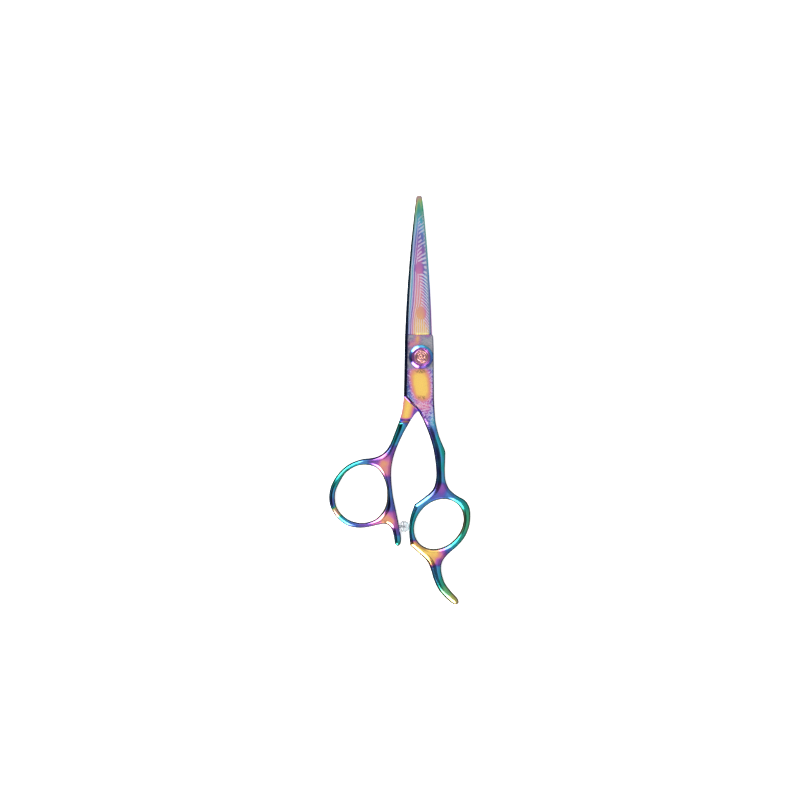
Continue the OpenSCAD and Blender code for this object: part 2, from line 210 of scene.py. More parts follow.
def point_values(obj, name, values):
    attribute = obj.data.attributes.new(name, "FLOAT", "POINT")
    attribute.data.foreach_set("value", np.asarray(values, np.float32))


def coords(obj):
    """The mesh's points in millimetres."""
    co = np.zeros(len(obj.data.vertices) * 3)
    obj.data.vertices.foreach_get("co", co)
    return co.reshape(-1, 3) / MM


def loft(sections):
    """Points and faces through closed sections with equal point counts, capped at both ends."""
    n = len(sections[0])
    points = np.concatenate(sections)
    faces = [list(range(n)), [(len(sections) - 1) * n + i for i in range(n)][::-1]]
    for s in range(len(sections) - 1):
        for i in range(n):
            j = (i + 1) % n
            faces.append([s * n + j, s * n + i, (s + 1) * n + i, (s + 1) * n + j])
    return points, faces


def lathe(profile, steps, closed=False):
    """Points and faces of a profile of (radius, height) turned about Z."""
    profile = np.asarray(profile, float)
    n = len(profile)
    angles = np.linspace(0, 2 * math.pi, steps, endpoint=False)
    points = [(r * math.cos(a), r * math.sin(a), z) for a in angles for r, z in profile]
    faces = []
    last = n if closed else n - 1
    for s in range(steps):
        t = (s + 1) % steps
        for i in range(last):
            j = (i + 1) % n
            faces.append([s * n + i, t * n + i, t * n + j, s * n + j])
    return np.array(points), faces


def weld_points(obj, distance=AXIS_WELD):
    """Merges points that lie together, such as a lathe's points on its axis."""
    bm = bmesh.new()
    bm.from_mesh(obj.data)
    bmesh.ops.remove_doubles(bm, verts=bm.verts, dist=distance * MM)
    bmesh.ops.dissolve_degenerate(bm, edges=bm.edges, dist=1e-7)
    bmesh.ops.recalc_face_normals(bm, faces=bm.faces)
    bm.to_mesh(obj.data)
    bm.free()


def cylinder_mesh(name, radius, low, high):
    profile = [(0, low), (radius, low), (radius, high), (0, high)]
    obj = mesh_object(name, *lathe(profile, 96))
    weld_points(obj)
    return obj


def crease(obj, degrees):
    obj.data.set_sharp_from_angle(angle=math.radians(degrees))


def cut(obj, cutters):
    """Takes the cutters out of obj, one after another, and removes them."""
    for c in cutters:
        m = obj.modifiers.new("cut", "BOOLEAN")
        m.operation = "DIFFERENCE"
        m.solver = "EXACT"
        m.object = c
        dg = bpy.context.evaluated_depsgraph_get()
        mesh = bpy.data.meshes.new_from_object(obj.evaluated_get(dg))
        obj.modifiers.clear()
        old = obj.data
        obj.data = mesh
        bpy.data.meshes.remove(old)
        bpy.data.objects.remove(c)
    weld_points(obj, CUT_WELD)
    obj.data.name = obj.name
    obj.data.shade_smooth()
    crease(obj, CUT_CREASE)


# ---- handles

def catmull_rom(a, b, c, d, t):
    """A share t of the way from b to c, on the smooth curve through all four."""
    return (2 * b + (c - a) * t + (2 * a - 5 * b + 4 * c - d) * t * t
            + (3 * b - a - 3 * c + d) * t ** 3) / 2


def open_curve(points, steps):
    p = np.array(points, float)
    p = np.concatenate([2 * p[:1] - p[1:2], p, 2 * p[-1:] - p[-2:-1]])
    out = [catmull_rom(*p[i - 1:i + 3], k / steps) for i in range(1, len(p) - 2)
           for k in range(steps)]
    return np.array(out + [p[-2]])


def closed_curve(points, steps):
    """A smooth loop through the points, each row of which may hold more than x and y."""
    p = np.array(points, float)
    around = [np.roll(p, k, 0) for k in (1, 0, -1, -2)]
    rows = [catmull_rom(*around, k / steps) for k in range(steps)]
    out = np.stack(rows, 1).reshape(-1, p.shape[1])
    keep = np.linalg.norm(out[:, :2] - np.roll(out[:, :2], 1, 0), axis=1) > 1e-6
    return out[keep]


def finger_hole():
    a = np.linspace(0, 2 * math.pi, 120, endpoint=False)
    x, y = FINGER_HOLE_AXES[0] * np.cos(a), FINGER_HOLE_AXES[1] * np.sin(a)
    c, s = math.cos(FINGER_HOLE_TURN), math.sin(FINGER_HOLE_TURN)
    w = np.interp(np.degrees(a) + math.degrees(FINGER_HOLE_TURN), np.arange(25) * 30,
                  FINGER_HOLE_W * 2 + FINGER_HOLE_W[:1])
    return np.stack([FINGER_HOLE_AT[0] + x * c - y * s, FINGER_HOLE_AT[1] + x * s + y * c, w], 1)


def thumb_hole():
    a = np.radians(np.arange(12) * 30)
    r = np.array(THUMB_HOLE_R, float)
    points = np.stack([THUMB_HOLE_AT[0] + r * np.cos(a), THUMB_HOLE_AT[1] + r * np.sin(a),
                       THUMB_HOLE_W], 1)
    return closed_curve(points, 10)


def rise(depth):
    """Square of a handle's half thickness at a depth inside its outline, as a share of its most."""
    u = np.minimum(depth / ROUND_SHARE, 1)
    below = 1 - depth
    facet = 1 - FACET_DROP * (below + np.sqrt(below ** 2 + 0.03)) / 2
    return facet ** 2 * np.where(u > 0, 1 - (1 - u) ** 2, 2 * u)


class Handle:
    """A handle's solid: its plan has rounded edges whose width varies along the outline."""

    def __init__(self, outline, hole, shoulder):
        """Lays out the depth on a fine grid, which later calls read from."""
        self.loops, self.shoulder = [closed_curve(outline, 7), hole], shoulder
        starts = np.concatenate(self.loops)
        runs = np.concatenate([np.roll(l, -1, 0) for l in self.loops]) - starts
        a, run, w, dw = starts[:, :2], runs[:, :2], starts[:, 2], runs[:, 2]
        len2 = (run ** 2).sum(1) + 1e-12
        self.low = a.min(0) - GRID_MARGIN
        size = np.ceil((a.max(0) + GRID_MARGIN - self.low) / GRID_STEP).astype(int) + 1
        gx, gy = np.meshgrid(*[self.low[k] + GRID_STEP * np.arange(size[k]) for k in (0, 1)],
                             indexing="ij")
        depth = np.full(gx.shape, DEPTH_LIMIT)
        tile = 48
        for i in range(0, size[0], tile):
            for j in range(0, size[1], tile):
                at = np.stack([gx[i:i + tile, j:j + tile], gy[i:i + tile, j:j + tile]], -1)
                middle, reach = at.mean((0, 1)), 0.75 * tile * GRID_STEP + 4.5
                near = np.linalg.norm(a + run / 2 - middle, axis=1) < reach
                if near.any():
                    rel = at[:, :, None, :] - a[near]
                    t = np.clip((rel * run[near]).sum(-1) / len2[near], 0, 1)
                    gap = np.linalg.norm(rel - t[..., None] * run[near], axis=-1)
                    share = gap / (w[near] + dw[near] * t)
                    depth[i:i + tile, j:j + tile] = np.minimum(share.min(-1), DEPTH_LIMIT)
        inside = np.zeros(gx.shape, bool)
        for p, d in zip(a, run):
            rows = (p[1] > gy[0]) != (p[1] + d[1] > gy[0])
            if rows.any():
                inside[:, rows] ^= gx[:, rows] < p[0] + d[0] * (gy[:, rows] - p[1]) / d[1]
        soft = depth.copy()
        for axis in (0, 1, 0, 1):
            soft = (soft + sum(np.roll(soft, k, axis) for k in (-2, -1, 1, 2))) / 5
        depth += (soft - depth) * smooth(0.3, 0.55, depth)
        self.grid = np.where(inside, depth, -depth)

    def depth(self, xy):
        """How far inside the outline each point is, as a share of the rounding's width there."""
        at = (xy - self.low) / GRID_STEP
        cell = np.clip(np.floor(at).astype(int), 0, np.array(self.grid.shape) - 2)
        u, v = np.clip(at - cell, 0, 1).T
        i, j = cell.T
        g = self.grid
        return ((g[i, j] * (1 - u) + g[i + 1, j] * u) * (1 - v)
                + (g[i, j + 1] * (1 - u) + g[i + 1, j + 1] * u) * v)

    def solid(self, depth, x, y, z):
        """Below 0 inside the rounded solid, from the depth at each point's plan position."""
        body = np.sqrt(np.maximum(1 - rise(depth) + ((z - MID_Z) / MID_Z) ** 2, 0)) - 1
        if self.shoulder is None:
            return body
        end = self.shoulder(x, y, z)
        return (body + end + np.sqrt((body - end) ** 2 + 0.004)) / 2

    def field(self, p):
        return self.solid(self.depth(p[:, :2]), *p.T)


def slope(field, p, step=0.06):
    """The field's value and gradient at each point."""
    grad = np.empty_like(p)
    for k in range(3):
        d = np.zeros(3)
        d[k] = step
        grad[:, k] = (field(p + d) - field(p - d)) / (2 * step)
    return field(p), grad


def surface_nets(values, axes):
    """Points and quads of the surface where a grid of values passes 0."""
    inside = values < 0
    shape = np.array(values.shape) - 1
    unit = np.eye(3, dtype=int)
    corners = list(np.ndindex(2, 2, 2))
    count = sum(inside[tuple(slice(a, a + n) for a, n in zip(c, shape))].astype(int)
                for c in corners)
    cells = np.argwhere((count > 0) & (count < 8))
    number = -np.ones(shape, int)
    number[tuple(cells.T)] = np.arange(len(cells))
    total, hits = np.zeros((len(cells), 3)), np.zeros(len(cells))
    for c, axis in ((c, axis) for c in corners for axis in range(3) if not c[axis]):
        v0, v1 = values[tuple((cells + c).T)], values[tuple((cells + c + unit[axis]).T)]
        crosses = (v0 < 0) != (v1 < 0)
        t = np.where(crosses, v0 / np.where(crosses, v0 - v1, 1), 0)
        total += (cells + c + t[:, None] * unit[axis]) * crosses[:, None]
        hits += crosses
    grid = total / hits[:, None]
    points = np.stack([np.interp(grid[:, k], range(len(axes[k])), axes[k]) for k in range(3)], 1)
    quads = []
    for axis in range(3):
        u, v = unit[(axis + 1) % 3], unit[(axis + 2) % 3]
        low, high = [slice(1, -1)] * 3, [slice(1, -1)] * 3
        low[axis], high[axis] = slice(0, -1), slice(1, None)
        a, b = inside[tuple(low)], inside[tuple(high)]
        for order, edge in ((1, np.argwhere(a & ~b)), (-1, np.argwhere(~a & b))):
            ring = [number[tuple((edge + turn).T)] for turn in (0 * u, u, u + v, v)]
            quads.append(np.stack(ring[::order], 1))
    return points, np.concatenate(quads)


def build_handle(name, handle, anchors, wall_anchors):
    """The handle's smooth skin, with true normals and the film as a value at each point."""
    low = np.min([l[:, :2].min(0) for l in handle.loops], 0) - 1.5 * CELL
    high = np.max([l[:, :2].max(0) for l in handle.loops], 0) + 1.5 * CELL
    axes = [np.arange(low[0], high[0], CELL),
            WELD_Y + CELL * (np.arange(math.floor((low[1] - WELD_Y) / CELL), 4) + 0.5),
            np.linspace(-1.5 * CELL, FACE_Z + 1.5 * CELL, 2 + round((FACE_Z + 3 * CELL) / CELL))]
    gx, gy = np.meshgrid(axes[0], axes[1], indexing="ij")
    depth = handle.depth(np.stack([gx.ravel(), gy.ravel()], 1)).reshape(gx.shape)
    z = axes[2][None, None, :]
    body = handle.solid(depth[:, :, None], gx[:, :, None], gy[:, :, None], z)
    p, quads = surface_nets(np.maximum(body, gy[:, :, None] - WELD_Y), axes)
    at_weld = p[:, 1] > WELD_Y - 0.75 * CELL
    for _ in range(5):
        value, grad = slope(handle.field, p)
        on_skin = ~at_weld | (value > -0.3)
        step = np.where(on_skin, np.clip(value / ((grad ** 2).sum(1) + 1e-9), -0.4, 0.4), 0)
        p = p - step[:, None] * grad
        p[at_weld, 1] = WELD_Y
    obj = mesh_object(name, p, quads)
    weld_points(obj, HANDLE_WELD)
    p = coords(obj)
    value, normal = slope(handle.field, p)
    normal[(np.abs(p[:, 1] - WELD_Y) < 0.001) & (value < -0.02)] = (0, 1, 0)
    normal /= np.linalg.norm(normal, axis=1)[:, None] + 1e-9
    obj.data.normals_split_custom_set_from_vertices(normal.tolist())
    lean = 1 - np.abs(normal[:, 2])
    hole = handle.loops[1][:, :2]
    gap = np.sqrt(((p[:, None, :2] - hole[None]) ** 2).sum(2).min(1))
    wall = smooth(1.5, 0.7, gap) * smooth(0.12, 0.5, lean)
    film = film_from(anchors, p[:, :2]) + 0.06 * lean
    film += (film_from(wall_anchors, p[:, :2]) - film) * wall
    point_values(obj, "film", np.clip(film, 0, 1))
    return obj


def thumb_shoulder(x, y, z):
    """Above 0 past the steep, slightly hollow slope where the thumb handle rises from its plate."""
    bow = 0.05 * np.minimum((x + 6.5) ** 2, 9)
    return (y - WELD_Y + 0.42 * (z - PLATE_T) + bow * (z > PLATE_T) + 0.1) / 3.3


# ---- blades

SIDE_POINTS = 11
TOP_POINTS = 9
# The lap edge's lower part lies flatter: its share of the width, and its fall
LIP_SHARE = 0.24
LIP_DEPTH = 0.12


def along(line, t):
    return line[0] + (line[1] - line[0]) * t + line[2] * 4 * t * (1 - t)


def side_profile(weld_share, width, height, corners):
    """A side's corner, from the wall to the flat: bevels that become the handle's edge at the weld.

    Corners are (share of the width, height below the flat) from the wall inwards.
    """
    s = np.linspace(0, 1, SIDE_POINTS) ** 1.25
    bevel = np.interp(s, [c[0] for c in corners] + [1], [-c[1] for c in corners] + [0])
    rounded = height * (np.sqrt(np.maximum(rise(s), 0)) - 1)
    return s * width, bevel + (rounded - bevel) * weld_share


def section(y, left, right, top_left, top_right, left_side, right_side, hollow=0):
    """One closed section of a blade at y, anticlockwise from its lower left, standing on z = 0."""
    lx, lz = left_side
    rx, rz = right_side
    x, z = [left, (left + right) / 2, right], [0, hollow, 0]
    x += list(right - rx)
    z += list(top_right + rz)
    inner = np.linspace(0, 1, TOP_POINTS + 2)[1:-1]
    x += list((right - rx[-1]) + (left + lx[-1] - right + rx[-1]) * inner)
    z += list(top_right + (top_left - top_right) * inner)
    x += list(left + lx[::-1])
    z += list(top_left + lz[::-1])
    return np.stack([np.array(x), np.full(len(x), y), np.array(z)], 1)


def interp(y, table):
    table = sorted(table)
    return np.interp(y, [r[0] for r in table], [r[1] for r in table])


def block_section(y, left_edge, right_edge, bevels):
    """A section of a pivot block that lies on z = 0."""
    lw, ld, rw, rd = (interp(y, b) for b in bevels[:4])
    lip = bevels[4] * float(smooth(-16.6, -17.6, y))
    left = [(0, ld), (LIP_SHARE, ld - lip if lip else ld * (1 - LIP_SHARE))]
    share = float(smooth(-19, WELD_Y, y))
    sides = side_profile(share, lw, PLATE_T, left), side_profile(share, rw, PLATE_T, [(0, rd)])
    return section(y, interp(y, left_edge), interp(y, right_edge), PLATE_T, PLATE_T, *sides)


def blade_section(y, spine, edge, shrink=0.0, thin=1.0):
    """A section of a blade that lies on z = 0, with its spine on the left."""
    t = np.clip((y - LEDGE_Y) / (TIP_Y - LEDGE_Y), 0, 1)
    s, e = along(spine, t), along(edge, t)
    s, e = s + (e - s) * shrink, e - (e - s) * shrink
    h = (ROOT_T + (TIP_T - ROOT_T) * t) * thin
    k = (e - s) / (EDGE_LINE[0] - SPINE_LINE[0])
    v = h / ROOT_T
    drop = h - EDGE_BEVEL[1] * v - 0.1
    left = side_profile(0, SPINE_BEVEL[0] * k, h, [(0, SPINE_BEVEL[1] * v)])
    right = side_profile(0, EDGE_BEVEL[0] * k, h, [(0, drop), (0.3, 0.16 * drop)])
    return section(y, s, e, h, h - EDGE_BEVEL[1] * v, left, right, HOLLOW * (1 - t))


def blade_sections(spine, edge):
    """Sections from the ledge to the round tip."""
    ys = np.linspace(LEDGE_Y + 0.25, TIP_Y, 60)
    tip = [(0.35, 0.05, 0.95), (0.6, 0.12, 0.85), (0.8, 0.22, 0.72), (1.0, 0.35, 0.6)]
    return ([blade_section(y, spine, edge) for y in ys]
            + [blade_section(TIP_Y + TIP_REACH * a, spine, edge, b, c) for a, b, c in tip])


CUTTING_LEFT = [(LEDGE_Y, -6.85), (-5, -7.1), (-16.5, -7.3), (-23.6, -0.7), (WELD_Y, 0.8)]
CUTTING_RIGHT = [(LEDGE_Y, 4.75), (LEDGE_Y - 1, 5.2), (2, 5.35), (-8, 5.4), (-18, 5.5),
                 (-22.5, 5.75), (WELD_Y, 6.05)]
# Bevels: left width and fall, right width and fall by y, and the depth of the lap edge's lip
CUTTING_BEVELS = [
    [(LEDGE_Y, 1.3), (-16.2, 1.3), (-17.6, 1.6), (-23.6, 1.45), (WELD_Y, 1.25)],
    [(LEDGE_Y, 1.0), (-16.2, 1.0), (-17.6, 1.4), (-23.6, 1.4), (WELD_Y, 1.3)],
    [(LEDGE_Y, 0.35), (WELD_Y, 0.68)],
    [(LEDGE_Y, 0.45), (WELD_Y, 0.8)],
    LIP_DEPTH]
# The thinning block, seen from the back, is turned over: its left is the shears' right
THINNING_LEFT = [(LEDGE_Y, -4.2), (8.4, -5), (-16.2, -5), (-18.7, -3.1), (-20.9, -1.1), (-22.6, 1),
                 (-24.2, 2.6), (WELD_Y, 4.15)]
THINNING_RIGHT = [(LEDGE_Y, 6.5), (-5, 6.9), (-16.5, 7.25), (-20.7, 7.7), (-24, 8.3),
                  (WELD_Y, 9.05)]
THINNING_BEVELS = [
    [(LEDGE_Y, 0.9), (-16.2, 0.9), (WELD_Y, 1.1)],
    [(LEDGE_Y, 0.9), (-16.2, 0.9), (WELD_Y, 1.3)],
    [(LEDGE_Y, 0.4), (-20, 0.5), (WELD_Y, 1.35)],
    [(LEDGE_Y, 0.5), (WELD_Y, 1.0)],
    0.0]


def half_mesh(name, spine, edge, left, right, bevels):
    """A blade with its pivot block, lying on z = 0 with its outer face up."""
    breaks = {y for table in (left, right) for y, _ in table}
    ys = sorted(breaks | set(np.linspace(WELD_Y, LEDGE_Y, 60)))
    sections = [block_section(y, left, right, bevels) for y in ys] + blade_sections(spine, edge)
    return mesh_object(name, *loft(sections))


def pocket_cutters():
    """Round cuts for the bush, the ball race and the ride washer, on a block that lies on z = 0."""
    bush = cad_mm("pivot_bush")[1][0] + 0.01
    race = cad_mm("lower_race")[1][0] + 0.1
    race_z = cad_mm("lower_race")[0][2] - 0.01 - FRONT_Z
    washer = cad_mm("ride_washer")[1]
    return [cylinder_mesh("bore", bush, -1, PLATE_T + 1),
            cylinder_mesh("pocket", race, race_z, PLATE_T + 1),
            cylinder_mesh("recess", washer[0] + 0.05, -1, washer[2] + 0.01 - FRONT_Z)]


def build_cutting_half():
    obj = half_mesh("cutting_blade_skin", SPINE_LINE, EDGE_LINE, CUTTING_LEFT, CUTTING_RIGHT,
                    CUTTING_BEVELS)
    cut(obj, pocket_cutters())
    obj.data.transform(Matrix.Translation((0, 0, FRONT_Z * MM)))
    return obj


def slot_cutter():
    """All slots between the teeth, and the notch in each tooth's end, as one cutter."""
    pitch = (TIP_Y - 1.6 - FIRST_SLOT_Y) / TOOTH_COUNT
    w = pitch * SLOT_SHARE
    points, faces = [], []

    def prism(plan):
        base, n = len(points), len(plan)
        points.extend((x, y, z) for z in (-1, PLATE_T + 1) for x, y in plan)
        faces.append([base + i for i in range(n)][::-1])
        faces.append([base + n + i for i in range(n)])
        faces.extend([base + i, base + (i + 1) % n, base + n + (i + 1) % n, base + n + i]
                     for i in range(n))

    for i in range(TOOTH_COUNT):
        y = FIRST_SLOT_Y + i * pitch
        t = (y - LEDGE_Y) / (TIP_Y - LEDGE_Y)
        e, s = along(BACK_EDGE_LINE, t), along(BACK_SPINE_LINE, t)
        root = e - (e - s) * SLOT_REACH + w / 2
        arc = [(root + w / 2 * math.cos(a), y + w / 2 + w / 2 * math.sin(a))
               for a in np.linspace(math.pi / 2, 3 * math.pi / 2, 13)]
        prism([(e + 1, y + w)] + arc + [(e + 1, y)])
        if i < TOOTH_COUNT - 1:
            m, r = y + (w + pitch) / 2, NOTCH / math.sqrt(2)
            prism([(e - r, m), (e, m - r), (e + r, m), (e, m + r)])
    return mesh_object("slots", points, faces)


def build_thinning_half():
    obj = half_mesh("thinning_blade_skin", BACK_SPINE_LINE, BACK_EDGE_LINE, THINNING_LEFT,
                    THINNING_RIGHT, THINNING_BEVELS)
    head = cad_mm("pivot_bolt")
    cutters = [slot_cutter(),
               cylinder_mesh("head", head[1][0] + 0.05, PLATE_T - 1, PLATE_T + 1),
               cylinder_mesh("shank", SHANK_HOLE_R, -1, PLATE_T + 1)]
    cut(obj, cutters)
    turn = Matrix.Rotation(math.pi, 4, "Y")
    obj.data.transform(Matrix.Translation((0, 0, PLATE_T * MM)) @ turn)
    return obj


# ---- dial, its disc, and the bumper

def turned(obj, crease_angle=TURNED_CREASE):
    weld_points(obj)
    crease(obj, crease_angle)
    return obj


def build_dial():
    """A low knob with a polished rounded rim, hollow below for its click spring."""
    base, outer = DIAL_LOW[2], DIAL_HIGH[0]
    top, floor = DIAL_HIGH[2] - base, CAP_LOW[2] - 0.01 - base
    bore, recess, recess_h = 1.55, 4.45, 0.48
    rim = open_curve([(outer, 0.8), (outer - 0.03, 1.08), (outer - 0.16, 1.3),
                      (outer - 0.4, 1.44), (outer - 0.8, 1.63), (outer - 1.16, top - 0.05),
                      (outer - 1.27, top - 0.01), (outer - 1.36, top - 0.12),
                      (3.72, floor + 0.05)], 5)
    profile = [(bore, recess_h), (recess, recess_h), (recess, 0), (outer - 0.15, 0),
               (outer, 0.15), *rim, (3.7, floor), (bore, floor)]
    points, faces = lathe([(r, z + base) for r, z in profile], 160, closed=True)
    return turned(mesh_object("dial_rim", points, faces), DIAL_CREASE)


def build_cap():
    """The dial's disc, with rings of overlapping petals pressed into it."""
    low, high = CAP_LOW[2], CAP_HIGH[2]
    radius = CAP_HIGH[0] - 0.02
    rings, spokes = 46, 180
    turns = [(math.cos(a), math.sin(a), a)
             for a in np.linspace(0, 2 * math.pi, spokes, endpoint=False)]
    points, relief = [(0, 0, high - 0.02)], [0.6]
    for i in range(1, rings + 1):
        r = radius * i / rings
        fade = float(smooth(radius, radius - 0.35, r))
        for c, s, a in turns:
            bend = a + 0.5 * math.sin(2 * a + r) + 0.9 * r
            petal = abs(math.sin(1.5 * bend)) ** 0.8
            wave = 0.5 + 0.5 * math.cos(2 * math.pi * (r / 1.0 + 0.55 * petal))
            h = fade * wave + (1 - fade) * 0.85
            points.append((r * c, r * s, high - 0.2 + 0.18 * h))
            relief.append(h)
    for r in (radius, 0):
        points += [(r * c, r * s, low) for c, s, _ in turns]
        relief += [0.5] * spokes
    faces = [[0, 1 + k, 1 + (k + 1) % spokes] for k in range(spokes)]
    for i in range(rings + 1):
        for k in range(spokes):
            a, b = 1 + i * spokes + k, 1 + i * spokes + (k + 1) % spokes
            faces.append([a, a + spokes, b + spokes, b])
    obj = mesh_object("dial_disc", points, faces)
    point_values(obj, "relief", relief)
    return turned(obj)


def build_bumper():
    """A soft stop turned about X, with two ribs, a fluted side and a blind hole for its stud."""
    low, high = cad_mm("bumper")
    stud_low, stud_high = cad_mm("bumper_stud")
    at = (low + high) / 2
    length, r = high[0] - low[0], (high[1] - low[1]) / 2
    stud_r = (stud_high[1] - stud_low[1]) / 2 + 0.02
    bore = stud_high[0] - low[0] + 0.02
    outer = open_curve([(1.25, 0.42), (r - 0.25, 0.58), (r - 0.02, 0.9), (r - 0.02, 1.35),
                        (r - 0.3, 1.7), (r - 0.02, 2.05), (r - 0.06, 2.55), (r - 0.3, 2.95),
                        (r - 0.6, length - 0.35), (r - 1.1, length - 0.06), (0.5, length),
                        (0, length)], 4)
    profile = [(0, bore), (stud_r, bore), (stud_r, 0), (1.25, 0), (1.25, 0.4), *outer]
    points, faces = lathe(profile, 120)
    angle = np.arctan2(points[:, 1], points[:, 0])
    gap = np.hypot(points[:, 0], points[:, 1])
    flute = np.where(gap > 1.4, 1 - 0.045 * (0.5 - 0.5 * np.cos(9 * angle)), 1)
    lying = np.stack([low[0] + points[:, 2], at[1] + points[:, 1] * flute,
                      at[2] + points[:, 0] * flute], 1)
    return turned(mesh_object("bumper_clear", lying, faces))


# ---- node graphs

def linear(rgb):
    """An sRGB colour of 0 to 255 as linear RGBA."""
    out = []
    for c in rgb:
        c /= 255
        out.append(c / 12.92 if c <= 0.04045 else ((c + 0.055) / 1.055) ** 2.4)
    return (*out, 1)


def operation(name, swapped=False):
    return lambda a, b: a.graph.math(name, *((b, a) if swapped else (a, b)))


class Num:
    """A number in a node graph, which ordinary arithmetic works on."""

    def __init__(self, graph, socket):
        self.graph, self.socket = graph, socket

    def __abs__(self):
        return self.graph.math("ABSOLUTE", self)

    __add__ = __radd__ = operation("ADD")
    __mul__ = __rmul__ = operation("MULTIPLY")
    __sub__, __rsub__ = operation("SUBTRACT"), operation("SUBTRACT", swapped=True)
    __truediv__ = operation("DIVIDE")


class Graph:
    """Builds a node tree from arithmetic on places in mm. A list of 0 to 255 is an sRGB colour."""

    def __init__(self, tree):
        self.tree = tree
        tree.nodes.clear()

    def feed(self, socket, value):
        if isinstance(value, Num):
            self.tree.links.new(value.socket, socket)
        elif isinstance(value, bpy.types.NodeSocket):
            self.tree.links.new(value, socket)
        elif isinstance(value, list):
            socket.default_value = linear(value)
        else:
            socket.default_value = value

    def node(self, kind, inputs=None, **settings):
        n = self.tree.nodes.new(kind)
        for key, value in settings.items():
            setattr(n, key, value)
        for key, value in (inputs or {}).items():
            self.feed(n.inputs[key], value)
        return n

    def math(self, operation, *values):
        n = self.node("ShaderNodeMath", operation=operation)
        for socket, value in zip(n.inputs, values):
            self.feed(socket, value)
        return Num(self, n.outputs[0])

    def split(self, vector):
        n = self.node("ShaderNodeSeparateXYZ", {0: vector})
        return [Num(self, s) for s in n.outputs]

    def place(self):
        """x, y and z on the object, in millimetres."""
        return [v * (1 / MM) for v in self.split(self.node("ShaderNodeTexCoord").outputs["Object"])]

    def attribute(self, name):
        return Num(self, self.node("ShaderNodeAttribute", attribute_name=name).outputs["Fac"])

    def noise(self, x, y, z=0, detail=2):
        """Smooth noise of about -1 to 1, with features one unit across."""
        at = self.node("ShaderNodeCombineXYZ", {0: x, 1: y, 2: z}).outputs[0]
        n = self.node("ShaderNodeTexNoise", {"Vector": at, "Scale": 1, "Detail": detail})
        return (Num(self, n.outputs["Fac"]) - 0.5) * 3

    def smooth(self, value, low, high):
        n = self.node("ShaderNodeMapRange", {0: value}, interpolation_type="SMOOTHSTEP")
        n.inputs[1].default_value, n.inputs[2].default_value = min(low, high), max(low, high)
        n.inputs[3].default_value, n.inputs[4].default_value = (0, 1) if low < high else (1, 0)
        return Num(self, n.outputs[0])

    def table(self, value, rows):
        """A line through rows of (value, result)."""
        rows = sorted(rows)
        low, high = rows[0][0], rows[-1][0]
        base = min(r[1] for r in rows)
        span = (max(r[1] for r in rows) - base) or 1
        n = self.node("ShaderNodeFloatCurve", {"Value": (value - low) / (high - low)})
        n.mapping.extend = "HORIZONTAL"
        curve = n.mapping.curves[0]
        while len(curve.points) < len(rows):
            curve.points.new(0.5, 0.5)
        for point, (at, result) in zip(curve.points, rows):
            point.location = ((at - low) / (high - low), (result - base) / span)
            point.handle_type = "VECTOR"
        n.mapping.update()
        return Num(self, n.outputs[0]) * span + base

    def sin(self, value):
        return self.math("SINE", value)

    def spot(self, x, y, at, size):
        """1 at the middle of a soft oval, falling to 0 around it."""
        dx, dy = (x - at[0]) / size[0], (y - at[1]) / size[1]
        return self.math("EXPONENT", 0 - (dx * dx + dy * dy))

    def blend(self, a, b, share):
        return a + (b - a) * share

    def mix(self, share, a, b):
        """Colour a with a share of colour b."""
        n = self.node("ShaderNodeMix", data_type="RGBA")
        for index, value in ((0, share), (6, a), (7, b)):
            self.feed(n.inputs[index], value)
        return n.outputs[2]

    def film(self, thickness):
        """The titanium film's colour."""
        n = self.node("ShaderNodeValToRGB", {0: thickness})
        ramp = n.color_ramp
        while len(ramp.elements) < len(FILM):
            ramp.elements.new(0.5)
        for element, (at, rgb) in zip(ramp.elements, FILM):
            element.position = at
            element.color = linear(rgb)
        return n.outputs[0]


def material(name, build, *fixed):
    """A material whose build(*fixed, graph, x, y, z) gives its sockets and a height in mm."""
    m = bpy.data.materials.new(name)
    m.use_nodes = True
    g = Graph(m.node_tree)
    sockets = build(*fixed, g, *g.place())
    height = sockets.pop("height", None)
    shader = g.node("ShaderNodeBsdfPrincipled", sockets)
    if height is not None:
        bump = g.node("ShaderNodeBump", {"Height": height, "Distance": MM, "Strength": 1})
        g.feed(shader.inputs["Normal"], bump.outputs[0])
    g.node("ShaderNodeOutputMaterial", {"Surface": shader.outputs[0]})
    return m


def metal(colour, roughness, height):
    return {"Base Color": colour, "Metallic": 1, "Roughness": roughness, "height": height}


PALE_ETCH = [212, 206, 224]
GREY_ETCH = [142, 138, 148]
OLIVE_ETCH = [120, 108, 52]
PINK_TIP = [212, 180, 192]


# ---- blade finishes

SMOOTH_SPOTS = [((0.1, 18.6), (2.7, 3.4)), ((-0.7, 37.4), (2.5, 3.1)),
                ((0.9, 45.3), (0.9, 2)), ((0.6, 50.8), (0.9, 1.7)), ((0.2, 57.4), (0.8, 1.3)),
                ((0.1, 62.2), (0.7, 1.6))]


